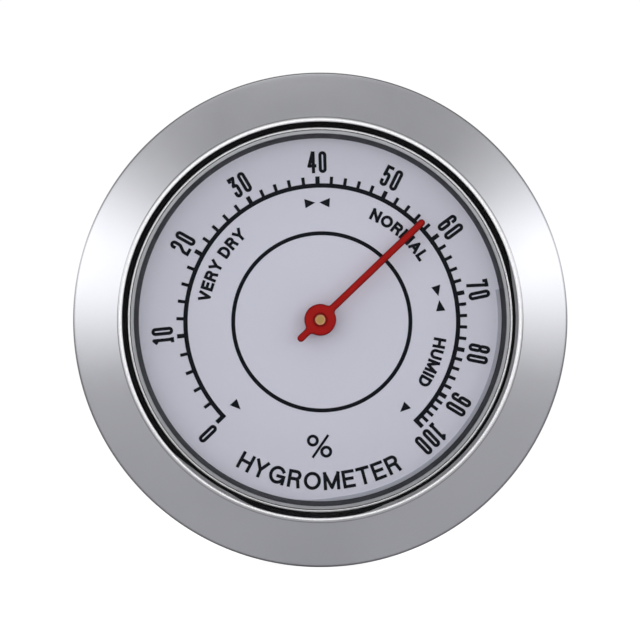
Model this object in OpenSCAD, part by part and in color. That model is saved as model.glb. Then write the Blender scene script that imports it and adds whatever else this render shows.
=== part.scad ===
// Panel-mounting dial hygrometer: a metal bezel with a glazed dial, a case that pushes into a
// round hole, and a coil movement that turns the pointer. Millimetres. The panel's face is the
// plane y = 0, the dial looks along -Y, and +Z is up.

/* [Bezel] */
// Outside diameter of the bezel
bezel_d = 70; // [68:1:80]
// Thickness of the bezel's half-round outer edge
rim_t = 0.9; // [0.6:0.1:1.2]
// Slope of the bezel's face, in degrees
face_slope = 16.5; // [10:0.5:20]
// Diameter of the bezel's clear window
window_d = 56; // [55.6:0.1:56.4]
// Width of the flat land round the window
land_w = 0.56; // [0.4:0.02:0.7]
// Length of the skirt behind the panel's face
skirt_len = 4; // [3.8:0.1:4.6]

/* [Glazing and dial stack] */
// Thickness of the clear lens
lens_t = 1.5; // [1:0.1:1.6]
// Thickness of the seal behind the lens
seal_t = 0.7; // [0.5:0.1:0.8]
// Depth of the dial's face below the panel's face
dial_depth = 3.3; // [3:0.1:3.5]
// Thickness of the dial plate
dial_t = 0.5; // [0.3:0.1:0.8]
// Diameter of the part of the dial that shows
dial_d = 51.6; // [50:0.1:52]

/* [Scale and pointer] */
// Relative humidity that the pointer shows at rest, in percent
reading = 57.4; // [0:0.1:100]
// Inner radius of the scale's arc
arc_r = 19.08; // [18:0.01:19.5]
// Width of the scale's arc
arc_w = 0.62; // [0.3:0.02:0.7]
// Outer radius of the scale's ticks
tick_r = 20.68; // [20.3:0.01:21]
// Width of the scale's ticks
tick_w = 0.46; // [0.3:0.02:0.5]
// How far the print sits to the right of the dial's centre
print_x = 0.23; // [-0.3:0.01:0.3]
// How far the print sits below the dial's centre
print_drop = 0.28; // [-0.3:0.01:0.3]
// Radius of the pointer's tip
pointer_r = 20.4; // [19:0.1:22]
// Width of the pointer's needle
needle_w = 1.02; // [0.8:0.02:1.1]
// Diameter of the pointer's boss
boss_d = 4.52; // [4:0.02:5]

/* [Case] */
// Diameter of the panel hole that the case pushes into
panel_hole_d = 60; // [59.6:0.1:62]
// Depth of the case behind the panel's face
case_len = 18.5; // [18.5:0.5:26]
// Number of vent slots in the rear cover
vents = 18; // [9:3:24]

/* [Movement] */
// Diameter of the pointer's arbor
arbor_d = 1.64; // [1.4:0.02:1.8]
// Width of the humidity-sensing coil
coil_w = 4.8; // [4:0.1:4.8]
// Number of turns in the coil
coil_turns = 6.5; // [4:0.5:8]
// Thickness of the coil's strip
coil_t = 0.24; // [0.16:0.02:0.3]

/* [Hidden] */
$fn = 96;

// Small allowances
eps = 0.01;          // overshoot of a cutting shape
fit = 0.1;           // radial gap of parts that drop into each other
run = 0.03;          // radial gap of a pivot in its bush
gap = 0.03;          // end gap between parts that turn against each other

// Bezel
bezel_r = bezel_d / 2;
rim_c = bezel_r - rim_t / 2;                       // centre of the half-round edge
rim_x = rim_c + rim_t / 2 * sin(face_slope);       // where the sloped face leaves the edge
rim_z = rim_t / 2 * (1 + cos(face_slope));
window_r = window_d / 2;
land_r = window_r + land_w;
face_r = land_r + 0.1;                             // inner edge of the sloped face
face_z = rim_z + (rim_x - face_r) * tan(face_slope);
land_z = face_z + 0.15;

// Front stack, from the lens back to the dial
lens_r = window_r + 0.5;
seal_front = 0.4;                                  // height of the lens's back face
lip_z = seal_front + lens_t;
seal_r = window_r - 0.65;                          // inner radius of the seal
seal_back = seal_front - seal_t;
stack_r = seal_r - 0.05;                           // outer radius of the dial and shadow ring
trim_r = stack_r - 0.05;
trim_top = seal_front - 0.1;
trim_t = 0.65;
trim_in = dial_d / 2 + 0.6;
shadow_top_r = trim_in - 0.08;
dial_z = -dial_depth;
ink_t = 0.04;
major_w = tick_w + 0.15;                           // width of the ticks at the tens
mark_r = 16.98;                                    // middle of the zone marks
mark_half = 0.67;
circle_r = 12.32;                                  // inner radius of the circle round the hub
circle_w = 0.56;

// Case
case_r = lens_r;
skirt_r = case_r + 0.9;
seat_r = case_r + fit;
snap_z = -3;                                       // height of the snap ridge
grip_seat_r = case_r - 0.5;
grip_front = -5.3;
grip_back = -12.7;
grip_base_r = case_r + 0.5;
grip_r = panel_hole_d / 2;
rib_count = 3;
rib_crest = 0.8;
rib_pitch = 2.5;
case_in_r = case_r - 2.5;
cover_t = 1.5;
cover_r = case_r - 1.6;
cover_z = cover_t - case_len;                      // the cover's inner face
cover_screw_pcr = case_in_r - 1.7;
lug_r = 16.5;                                      // radius of the movement's fixing lugs
lug_end_r = 2.6;

// Movement, from the dial back
front_plate_z = dial_z - dial_t - 3.2;             // front face of the front plate
plate_t = 0.8;
coil_front = front_plate_z - plate_t - 0.6;
arm_z = coil_front - 4.8 - 0.3;                    // front face of the regulator arm
arm_t = 0.6;
washer_t = 0.3;
rear_plate_z = arm_z - arm_t - washer_t;           // front face of the rear plate
plate_r = 13.6;
pillar_pcr = 12;
pillar_r = 1.2;
arbor_r = arbor_d / 2;
pivot_r = 0.5;
boss_top = dial_z + 2.2;
spindle_r = 2;
spindle_back = cover_z - cover_t + 0.6;            // back face of the slotted head
head_front = rear_plate_z - plate_t - gap;
bush_back = arm_z - 2.9;
coil_in_r = 2.45;
coil_out_r = 8.77;
stud_r = 0.5;
stud_pcr = coil_out_r + coil_t / 2 + stud_r + eps;
arm_angle = 60;
collet_r = 2;

// Humidity in percent against the angle clockwise from the top: the coil answers more to dry air
SCALE = [[0, -135], [10, -97], [20, -62], [30, -32], [40, -3], [50, 25],
         [60, 52], [70, 77], [80, 100], [90, 120], [100, 135]];
function dial_angle(percent) = lookup(percent, SCALE);

// A point at radius r and angle a, clockwise from the top
function at(r, a) = [r * sin(a), r * cos(a)];

// Points along an arc about c, counted from angle a0 to a1
function arc(c, r, a0, a1, n) =
    [for (i = [0 : n]) let (a = a0 + (a1 - a0) * i / n) c + r * [cos(a), sin(a)]];

// Turns a shape drawn on the dial, with z towards the viewer, into the part's frame
module facing() {
    rotate([90, 0, 0]) children();
}

// Copies of a shape drawn at the top, turned clockwise to each of three equal angles
module three_times(first = 0) {
    for (a = [first : 120 : first + 240])
        rotate(-a) children();
}

// A round bar from height z0 up to height z1
module bar(r, z0, z1) {
    translate([0, 0, z0]) cylinder(r = r, h = z1 - z0);
}

// A flat ring from height z0 up to height z1
module ring(r_out, r_in, z0, z1) {
    difference() {
        bar(r_out, z0, z1);
        bar(r_in, z0 - eps, z1 + eps);
    }
}

// A slot across a screw's or a spindle's end, cut upwards from height z
module driver_slot(width, length, depth, z) {
    translate([-length / 2, -width / 2, z - eps]) cube([length, width, depth + eps]);
}

// A pan-head screw with its head behind height z and its shank in front of it
module screw(head_r, head_h, shank_r, shank_len, z) {
    crown = head_h / 3;
    bar(shank_r, z - eps, z + shank_len);
    difference() {
        union() {
            bar(head_r, z - head_h + crown, z);
            translate([0, 0, z - head_h])
                cylinder(r1 = head_r - crown, r2 = head_r, h = crown);
        }
        driver_slot(head_r * 0.36, head_r * 3, head_h * 0.5, z - head_h);
    }
}

module bezel() {
    edge = 0.05;
    // the land round the window, the step down to the sloped face and the half-round outer edge
    front = concat([[window_r, land_z - edge], [window_r + edge, land_z], [land_r, land_z], [face_r, face_z]],
                   arc([rim_c, rim_t / 2], rim_t / 2, 90 - face_slope, -90, 10));
    // the skirt, with the groove that the case's snap ridge clicks into
    skirt = [[skirt_r, 0], [skirt_r, -skirt_len], [seat_r, -skirt_len],
             [seat_r, snap_z - 0.5], [seat_r + 0.25, snap_z - 0.3],
             [seat_r + 0.25, snap_z + 0.3], [seat_r, snap_z + 0.5]];
    color([0.78, 0.79, 0.81])
    facing() rotate_extrude($fn = 180)
        polygon(concat([[seat_r, lip_z], [window_r, lip_z]], front, skirt));
}

module lens() {
    edge = 0.2;
    color([0.9, 0.95, 1, 0.25])
    facing() {
        bar(lens_r, seal_front, lip_z - edge);
        translate([0, 0, lip_z - edge]) cylinder(r1 = lens_r, r2 = lens_r - edge, h = edge);
    }
}

module lens_seal() {
    color([0.04, 0.04, 0.045])
    facing() ring(lens_r, seal_r, seal_back, seal_front);
}

module trim_ring() {
    edge = 0.04;
    groove_w = 0.1;
    groove_r = (trim_in + trim_r) / 2;
    color([0.62, 0.63, 0.65])
    facing() rotate_extrude($fn = 180)
    difference() {
        polygon([[trim_in, trim_top - trim_t], [trim_r, trim_top - trim_t],
                 [trim_r, trim_top - edge], [trim_r - edge, trim_top], [trim_in, trim_top]]);
        translate([groove_r, trim_top - 0.12]) square([groove_w, 0.2]);
    }
}

module shadow_ring() {
    top = trim_top - trim_t;
    color([0.06, 0.06, 0.07])
    facing() rotate_extrude($fn = 180)
    polygon([[dial_d / 2, dial_z], [stack_r, dial_z], [stack_r, top], [shadow_top_r, top]]);
}

module dial_plate() {
    color([0.72, 0.72, 0.77])
    facing() ring(stack_r, arbor_r + 0.8, dial_z - dial_t, dial_z);
}

// One radial tick, from the middle of the arc outwards
module tick(width) {
    root = arc_r + arc_w / 2;
    translate([-width / 2, root]) square([width, tick_r - root]);
}

// A small arrowhead on the zone line, from its base at one angle to its tip at another
module zone_mark(base, tip) {
    polygon([at(mark_r, tip), at(mark_r - mark_half, base), at(mark_r + mark_half, base)]);
}

// The printed scale: the arc, its ticks, the zone marks and the circle round the hub
module scale_print() {
    over = asin(major_w / 2 / arc_r);              // the arc runs on to the far side of its end ticks
    first = SCALE[0][1] - over;
    last = SCALE[len(SCALE) - 1][1] + over;
    far = 40;
    color([0.06, 0.07, 0.1])
    facing() translate([print_x, -print_drop, dial_z]) linear_extrude(height = ink_t) {
        difference() {
            circle(r = arc_r + arc_w, $fn = 180);
            circle(r = arc_r, $fn = 180);
            polygon([[0, 0], at(far, last), at(far, 180), at(far, first)]);
        }
        for (percent = [0 : 2 : 100])
            rotate(-dial_angle(percent)) tick(percent % 10 == 0 ? major_w : tick_w);
        for (mark = [[-133.4, -138.4], [-9.4, -4.4], [2.5, -2.5],
                     [71.3, 76.3], [83.5, 78.2], [132.8, 137.8]])
            zone_mark(mark[0], mark[1]);
        difference() {
            circle(r = circle_r + circle_w, $fn = 120);
            circle(r = circle_r, $fn = 120);
        }
    }
}

module pointer() {
    needle_h = 0.6;
    step = 0.03;                                   // the needle's crown lies this far below the boss
    needle_z = boss_top - step - needle_h;
    crown_r = 0.6;
    tail = 4.3;
    edge = 0.35;
    boss_r = boss_d / 2;
    boss_bottom = dial_z + 0.8;
    well_r = arbor_r + 0.25;
    color([0.6, 0.08, 0.06])
    facing() rotate(-dial_angle(reading))
    difference() {
        union() {
            // the boss, with a rounded front edge
            rotate_extrude() {
                translate([0, boss_bottom]) square([boss_r, boss_top - edge - boss_bottom]);
                translate([0, boss_bottom]) square([boss_r - edge, boss_top - boss_bottom]);
                translate([boss_r - edge, boss_top - edge]) circle(r = edge);
            }
            // the needle and its tail, crowned across their width
            intersection() {
                translate([0, 0, needle_z]) linear_extrude(height = needle_h) {
                    translate([-needle_w / 2, -tail + needle_w / 2])
                        square([needle_w, pointer_r + tail - needle_w]);
                    translate([0, pointer_r - needle_w / 2]) circle(d = needle_w);
                    translate([0, -tail + needle_w / 2]) circle(d = needle_w);
                }
                translate([0, -tail - 1, needle_z + needle_h - crown_r])
                    rotate([-90, 0, 0]) cylinder(r = crown_r, h = pointer_r + tail + 2);
            }
        }
        bar(arbor_r, boss_bottom - eps, boss_top + eps);
        bar(well_r, boss_top - 0.3, boss_top + eps);
    }
}

module arbor() {
    tip = boss_top - 0.04;
    edge = 0.12;
    shoulder = bush_back + 1.3;
    color([0.79, 0.63, 0.36])
    facing() {
        bar(arbor_r, shoulder, tip - edge);
        translate([0, 0, tip - edge]) cylinder(r1 = arbor_r, r2 = arbor_r - edge, h = edge);
        bar(pivot_r, bush_back + 0.1, shoulder + eps);
    }
}

module front_bush() {
    color([0.72, 0.56, 0.3])
    facing() difference() {
        union() {
            bar(1.5, front_plate_z - plate_t, front_plate_z + eps);
            bar(2.3, front_plate_z, front_plate_z + 0.8);
            bar(1.6, front_plate_z + 0.8 - eps, front_plate_z + 2);
        }
        bar(arbor_r + run, front_plate_z - plate_t - eps, front_plate_z + 2 + eps);
    }
}

module front_plate() {
    color([0.8, 0.66, 0.38])
    facing() difference() {
        translate([0, 0, front_plate_z - plate_t]) linear_extrude(height = plate_t) {
            circle(r = plate_r);
            three_times(60) {
                translate([-lug_end_r, 0]) square([2 * lug_end_r, lug_r]);
                translate([0, lug_r]) circle(r = lug_end_r);
            }
        }
        bar(1.5, front_plate_z - plate_t - eps, front_plate_z + eps);
        three_times(60) translate([0, lug_r]) bar(1.1, front_plate_z - plate_t - eps, front_plate_z + eps);
        three_times() translate([0, pillar_pcr]) bar(0.8, front_plate_z - plate_t - eps, front_plate_z + eps);
    }
}

module movement_screws() {
    color([0.75, 0.76, 0.78])
    facing() three_times(60) translate([0, lug_r])
        screw(1.9, 1.3, 0.95, 2.8, front_plate_z - plate_t);
}

module pillars() {
    color([0.8, 0.66, 0.38])
    facing() three_times() translate([0, pillar_pcr]) difference() {
        union() {
            bar(pillar_r, rear_plate_z, front_plate_z - plate_t);
            bar(0.78, front_plate_z - plate_t - eps, front_plate_z - 0.1);
        }
        bar(0.75, rear_plate_z - eps, rear_plate_z + 3.2);
    }
}

module pillar_screws() {
    color([0.75, 0.76, 0.78])
    facing() three_times() translate([0, pillar_pcr])
        screw(1.5, 1, 0.72, 3.6, rear_plate_z - plate_t);
}

module rear_plate() {
    color([0.8, 0.66, 0.38])
    facing() difference() {
        bar(plate_r, rear_plate_z - plate_t, rear_plate_z);
        bar(spindle_r + run, rear_plate_z - plate_t - eps, rear_plate_z + eps);
        three_times() translate([0, pillar_pcr]) bar(0.8, rear_plate_z - plate_t - eps, rear_plate_z + eps);
        // lightening windows between the pillars
        three_times(60) translate([0, 8.3]) bar(2.6, rear_plate_z - plate_t - eps, rear_plate_z + eps);
    }
}

module rear_bush() {
    color([0.72, 0.56, 0.3])
    facing() ring(1.28, pivot_r + run, bush_back, bush_back + 1.2);
}

module coil_collet() {
    color([0.72, 0.56, 0.3])
    facing() ring(collet_r, arbor_r, coil_front - coil_w, coil_front);
}

// The sensing coil: a flat strip wound in an even spiral, outer end at the regulator arm's stud
module hygro_coil() {
    steps = coil_turns * 24;
    pitch = (coil_out_r - coil_in_r) / steps;
    first = arm_angle - 360 * coil_turns;
    inner = [for (i = [0 : steps]) at(coil_in_r + pitch * i - coil_t / 2, first + 15 * i)];
    outer = [for (i = [steps : -1 : 0]) at(coil_in_r + pitch * i + coil_t / 2, first + 15 * i)];
    color([0.66, 0.6, 0.5])
    facing() translate([0, 0, coil_front - coil_w])
        linear_extrude(height = coil_w) polygon(concat(inner, outer));
}

module coil_stud() {
    color([0.72, 0.56, 0.3])
    facing() rotate(-arm_angle) translate([0, stud_pcr]) bar(stud_r, arm_z - arm_t, coil_front - 0.3);
}

module regulator_arm() {
    end_r = 1;
    color([0.7, 0.71, 0.73])
    facing() rotate(-arm_angle) difference() {
        translate([0, 0, arm_z - arm_t]) linear_extrude(height = arm_t) {
            circle(r = 3.4);
            translate([-end_r, 0]) square([2 * end_r, stud_pcr]);
            translate([0, stud_pcr]) circle(r = end_r);
        }
        bar(spindle_r, arm_z - arm_t - eps, arm_z + eps);
        translate([0, stud_pcr]) bar(stud_r, arm_z - arm_t - eps, arm_z + eps);
    }
}

module friction_washer() {
    color([0.45, 0.46, 0.48])
    facing() ring(3.7, spindle_r + run, rear_plate_z, rear_plate_z + washer_t - gap);
}

module adjuster_spindle() {
    bore_r = 1.28;
    head_r = 2.8;
    edge = 0.3;
    color([0.72, 0.56, 0.3])
    facing() difference() {
        union() {
            bar(spindle_r, head_front - eps, arm_z);
            bar(head_r, spindle_back + edge, head_front);
            translate([0, 0, spindle_back]) cylinder(r1 = head_r - edge, r2 = head_r, h = edge);
        }
        bar(bore_r, bush_back, arm_z + eps);
        driver_slot(0.9, 3 * head_r, 1, spindle_back);
    }
}

module case_barrel() {
    lug_deep = 2.6;
    rib_w = 1.6;
    boss_r = 2.5;
    edge = 0.6;
    rear = -case_len;
    stack_seat = dial_z - dial_t;
    color([0.1, 0.1, 0.11])
    facing() difference() {
        union() {
            rotate_extrude($fn = 180)
            polygon([[stack_r + fit, seal_back], [case_r, seal_back], [case_r, snap_z + 0.4],
                     [case_r + 0.25, snap_z + 0.2], [case_r + 0.25, snap_z - 0.2], [case_r, snap_z - 0.4],
                     [case_r, grip_front + eps], [grip_seat_r, grip_front + eps],
                     [grip_seat_r, grip_back - eps], [case_r, grip_back - eps],
                     [case_r, rear + edge], [case_r - edge, rear], [cover_r + fit, rear],
                     [cover_r + fit, cover_z], [case_in_r, cover_z], [case_in_r, stack_seat],
                     [stack_r + fit, stack_seat]]);
            // ribs behind the dial, each with a boss for the movement
            three_times(60) {
                translate([-rib_w / 2, lug_r, front_plate_z])
                    cube([rib_w, case_in_r + 0.5 - lug_r, stack_seat - front_plate_z]);
                translate([0, lug_r]) bar(lug_end_r, front_plate_z, stack_seat);
            }
            // bosses for the rear cover's screws
            three_times() translate([0, cover_screw_pcr]) bar(boss_r, cover_z, cover_z + 8);
        }
        three_times(60) translate([0, lug_r]) bar(1, front_plate_z - eps, front_plate_z + lug_deep);
        three_times() translate([0, cover_screw_pcr]) bar(1.05, cover_z - eps, cover_z + 6);
    }
}

// The rubber grip ring: ribs that ramp up from the back and hold against the panel hole's wall
module grip_ring() {
    rise = 0.5;
    first = grip_front - 0.4;
    ribs = [for (i = [0 : rib_count - 1])
        let (z = first - i * rib_pitch)
        each [[grip_base_r, z], [grip_r, z - 0.25], [grip_r, z - 0.25 - rib_crest],
              [grip_base_r, z - 0.25 - rib_crest - rise]]];
    color([0.08, 0.08, 0.085])
    facing() rotate_extrude($fn = 180)
        polygon(concat([[grip_seat_r, grip_front], [grip_base_r, grip_front]], ribs,
                       [[grip_base_r, grip_back], [grip_seat_r, grip_back]]));
}

module rear_cover() {
    slot_in = 9;
    slot_out = 19.5;
    slot_w = 1.6;
    rear = -case_len;
    color([0.13, 0.13, 0.14])
    facing() difference() {
        bar(cover_r, rear, cover_z);
        bar(3.2, rear - eps, cover_z + eps);
        for (i = [0 : vents - 1])
            rotate(i * 360 / vents) {
                translate([-slot_w / 2, slot_in, rear - eps])
                    cube([slot_w, slot_out - slot_in, cover_t + 2 * eps]);
                translate([0, slot_in]) bar(slot_w / 2, rear - eps, cover_z + eps);
                translate([0, slot_out]) bar(slot_w / 2, rear - eps, cover_z + eps);
            }
        three_times() translate([0, cover_screw_pcr]) {
            bar(1.2, rear - eps, cover_z + eps);
            bar(2.2, rear - eps, rear + 0.9);
        }
    }
}

module cover_screws() {
    color([0.75, 0.76, 0.78])
    facing() three_times() translate([0, cover_screw_pcr])
        screw(1.95, 0.85, 1, 5.5, 0.9 - case_len);
}

bezel();
lens();
lens_seal();
trim_ring();
shadow_ring();
dial_plate();
scale_print();
pointer();
arbor();
front_bush();
front_plate();
movement_screws();
pillars();
pillar_screws();
rear_plate();
rear_bush();
coil_collet();
hygro_coil();
coil_stud();
regulator_arm();
friction_washer();
adjuster_spindle();
case_barrel();
grip_ring();
rear_cover();
cover_screws();
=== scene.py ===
import math

import bmesh
import bpy
from mathutils import Matrix, Vector
from mathutils.geometry import delaunay_2d_cdt

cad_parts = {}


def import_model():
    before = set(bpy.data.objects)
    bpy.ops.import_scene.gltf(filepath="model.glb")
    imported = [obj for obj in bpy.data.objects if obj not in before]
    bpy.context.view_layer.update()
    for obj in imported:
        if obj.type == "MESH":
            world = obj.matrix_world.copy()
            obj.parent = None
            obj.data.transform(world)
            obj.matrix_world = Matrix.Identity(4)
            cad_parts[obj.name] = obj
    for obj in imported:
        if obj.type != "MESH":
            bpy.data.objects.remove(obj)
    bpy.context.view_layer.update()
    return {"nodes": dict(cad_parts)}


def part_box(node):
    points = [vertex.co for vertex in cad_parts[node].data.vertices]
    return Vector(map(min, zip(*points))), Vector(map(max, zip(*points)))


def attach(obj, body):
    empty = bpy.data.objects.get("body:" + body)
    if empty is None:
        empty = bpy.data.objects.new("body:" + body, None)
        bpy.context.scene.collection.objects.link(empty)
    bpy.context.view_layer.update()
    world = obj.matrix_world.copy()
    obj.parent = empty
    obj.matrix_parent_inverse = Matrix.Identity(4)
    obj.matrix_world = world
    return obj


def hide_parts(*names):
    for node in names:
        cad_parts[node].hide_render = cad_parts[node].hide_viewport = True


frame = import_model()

MM = 0.001

# Sizes from the frame, in millimetres unless they say otherwise: y grows from the dial to the back
BEZEL_LO, BEZEL_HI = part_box("bezel")
BEZEL_R = BEZEL_HI[0] / MM
DIAL_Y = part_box("dial_plate")[0][1] / MM
LENS_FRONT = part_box("lens")[0][1] / MM
LENS_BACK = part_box("lens")[1][1] / MM
LENS_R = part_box("lens")[1][0] / MM
FLOOR_Z = BEZEL_LO[2]    # in metres
INK = 0.04               # thickness of the printing

# The printing sits a little right of the dial's centre and below it
PRINT_X = 0.23
PRINT_DROP = 0.28

TURNS = 256              # segments round a turned ring
WELD = 1e-7              # vertices nearer than this, in metres, are one

# The bezel's section, in millimetres: a flat land round the window, a small step and the sloped face
WINDOW_R = 28.0
LAND_R = 28.56           # outer radius of the land
LAND_STEP = 0.1          # width of the step from the land to the sloped face
LAND_RISE = 0.15         # height of the land above the sloped face
LAND_EDGE = 0.05         # rounding at the land's sides
LAND_CROWN = 0.03        # how far the land's middle stands proud
FACE_CROWN = 0.035       # how far the sloped face's middle stands proud
SLOPE = 16.5             # slope of the face, in degrees
RIM_T = 0.9              # thickness of the half-round outer edge
SEAT_R = 28.6            # bore that the case drops into
SNAP_Y = 3.0             # middle of the groove for the case's snap ridge
SNAP_DEEP = 0.25
SKIRT_R = 29.4
SKIRT_LEN = 4.0
SKIRT_ROOT = 0.15        # chamfer where the skirt meets the flange
SKIRT_CHAMFER = 0.25     # chamfer at the skirt's end

# Radii that a shape shares with its material
ARBOR_R = 0.82
TRIM_GROOVE_R = 26.83
TRIM_GROOVE_W = 0.13


# ---------------------------------------------------------------- mesh helpers

def new_object(name, mesh, body, material, smooth_angle=30):
    """Adds a mesh as a visible piece that rides on a body."""
    piece = bpy.data.objects.new(name, mesh)
    bpy.context.scene.collection.objects.link(piece)
    mesh.materials.clear()
    mesh.materials.append(material)
    mesh.shade_smooth()
    mesh.set_sharp_from_angle(angle=math.radians(smooth_angle))
    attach(piece, body)
    return piece


def closed_mesh(name, verts, faces, weld=0):
    """A mesh from its vertices and faces, without loose vertices and with its faces looking outwards."""
    mesh = bpy.data.meshes.new(name)
    mesh.from_pydata(verts, [], faces)
    mesh.validate()
    work = bmesh.new()
    work.from_mesh(mesh)
    if weld:
        bmesh.ops.remove_doubles(work, verts=work.verts, dist=weld)
    bmesh.ops.delete(work, geom=[v for v in work.verts if not v.link_faces], context="VERTS")
    bmesh.ops.recalc_face_normals(work, faces=work.faces)
    work.to_mesh(mesh)
    work.free()
    return mesh


def around(radius, y, angle):
    """A vertex in metres from a radius, a height y and an angle in radians clockwise from the top."""
    return (radius * math.sin(angle) * MM, y * MM, radius * math.cos(angle) * MM)


def ellipse(cx, cy, rx, ry, start, end, steps=14):
    """Points along part of an ellipse in a plane, angles in degrees."""
    points = []
    for i in range(steps + 1):
        angle = math.radians(start + (end - start) * i / steps)
        points.append((cx + rx * math.cos(angle), cy + ry * math.sin(angle)))
    return points


def arc(centre, radius, start, end, steps):
    """Points along a circle's arc, angles in degrees."""
    return ellipse(centre[0], centre[1], radius, radius, start, end, steps)


def crowned(first, last, crown, steps):
    """Points from one end of a section's line to the other, its middle standing proud to the front."""
    points = []
    for i in range(steps + 1):
        t = i / steps
        points.append((first[0] + (last[0] - first[0]) * t,
                       first[1] + (last[1] - first[1]) * t - crown * 4 * t * (1 - t)))
    return points


def quads(here, there, count):
    """Faces between two closed rows of vertices, given each row's first vertex."""
    nexts = [(k + 1) % count for k in range(count)]
    return [(here + k, here + other, there + other, there + k) for k, other in enumerate(nexts)]


def rounded(points, radius, steps=4):
    """A closed outline with each corner rounded, as far as its sides allow."""
    straight = math.radians(12)
    out = []
    count = len(points)
    for i in range(count):
        before, here, after = (Vector(points[(i + k) % count]) for k in (-1, 0, 1))
        to_before, to_after = before - here, after - here
        turn = math.pi - to_before.angle(to_after)
        if turn < straight:
            out.append(tuple(here))
            continue
        reach = min(radius * math.tan(turn / 2), to_before.length * 0.45, to_after.length * 0.45)
        first = here + to_before.normalized() * reach
        last = here + to_after.normalized() * reach
        for k in range(steps + 1):
            t = k / steps
            out.append(tuple(first * (1 - t) ** 2 + here * 2 * t * (1 - t) + last * t ** 2))
    return out


def lathe(outline, turns=TURNS):
    """A ring turned about the instrument's axis from a closed outline of (radius, y) in millimetres."""
    count = len(outline)
    verts = []
    faces = []
    for i in range(turns):
        angle = 2 * math.pi * i / turns
        verts += [around(radius, y, angle) for radius, y in outline]
    for i in range(turns):
        faces += quads(i * count, (i + 1) % turns * count, count)
    return closed_mesh("lathe", verts, faces)


def disc_lathe(outline):
    """A solid disc turned from an open outline that starts and ends on the axis."""
    inner = outline[1:-1]
    count = len(inner)
    verts = [(0, outline[0][1] * MM, 0), (0, outline[-1][1] * MM, 0)]
    faces = []
    for i in range(TURNS):
        angle = 2 * math.pi * i / TURNS
        verts += [around(radius, y, angle) for radius, y in inner]
    for i in range(TURNS):
        here, there = 2 + i * count, 2 + (i + 1) % TURNS * count
        faces.append((0, here, there))
        faces.append((1, there + count - 1, here + count - 1))
        for k in range(count - 1):
            faces.append((here + k, here + k + 1, there + k + 1, there + k))
    return closed_mesh("disc", verts, faces)


def band(inner, outer, start, end, front, back, steps):
    """A flat closed band between two radii, each a number or a function of the clock angle in degrees."""
    whole = end - start >= 360
    rows = steps if whole else steps + 1
    verts = []
    for i in range(rows):
        clock = start + (end - start) * i / steps
        way = math.radians(clock)
        near, far = (edge(clock) if callable(edge) else edge for edge in (inner, outer))
        corners = ((near, front), (far, front), (far, back), (near, back))
        verts += [around(radius, y, way) for radius, y in corners]
    faces = []
    for i in range(steps):
        faces += quads(i * 4, (i + 1) % rows * 4, 4)
    if not whole:
        faces += [(0, 1, 2, 3), (steps * 4 + 3, steps * 4 + 2, steps * 4 + 1, steps * 4)]
    return closed_mesh("band", verts, faces)


def bevelled_copy(node, width):
    """A copy of a CAD node's mesh, welded, with its sharp edges broken as a moulder leaves them."""
    level = math.radians(0.5)
    sharp = math.radians(32)
    source = frame["nodes"][node]
    mesh = source.data.copy()
    work = bmesh.new()
    work.from_mesh(mesh)
    bmesh.ops.remove_doubles(work, verts=work.verts, dist=WELD)
    bmesh.ops.dissolve_limit(work, angle_limit=level, verts=work.verts, edges=work.edges)
    bmesh.ops.recalc_face_normals(work, faces=work.faces)
    work.to_mesh(mesh)
    work.free()
    piece = bpy.data.objects.new(node + "_finished", mesh)
    bpy.context.scene.collection.objects.link(piece)
    piece.matrix_world = source.matrix_world.copy()
    bevel = piece.modifiers.new("edge", "BEVEL")
    bevel.width = width * MM
    bevel.segments = 2
    bevel.limit_method = "ANGLE"
    bevel.angle_limit = sharp
    graph = bpy.context.evaluated_depsgraph_get()
    finished = bpy.data.meshes.new_from_object(piece.evaluated_get(graph))
    finished.transform(piece.matrix_world)
    bpy.data.objects.remove(piece)
    return finished


# ---------------------------------------------------------------- material helpers

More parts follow.
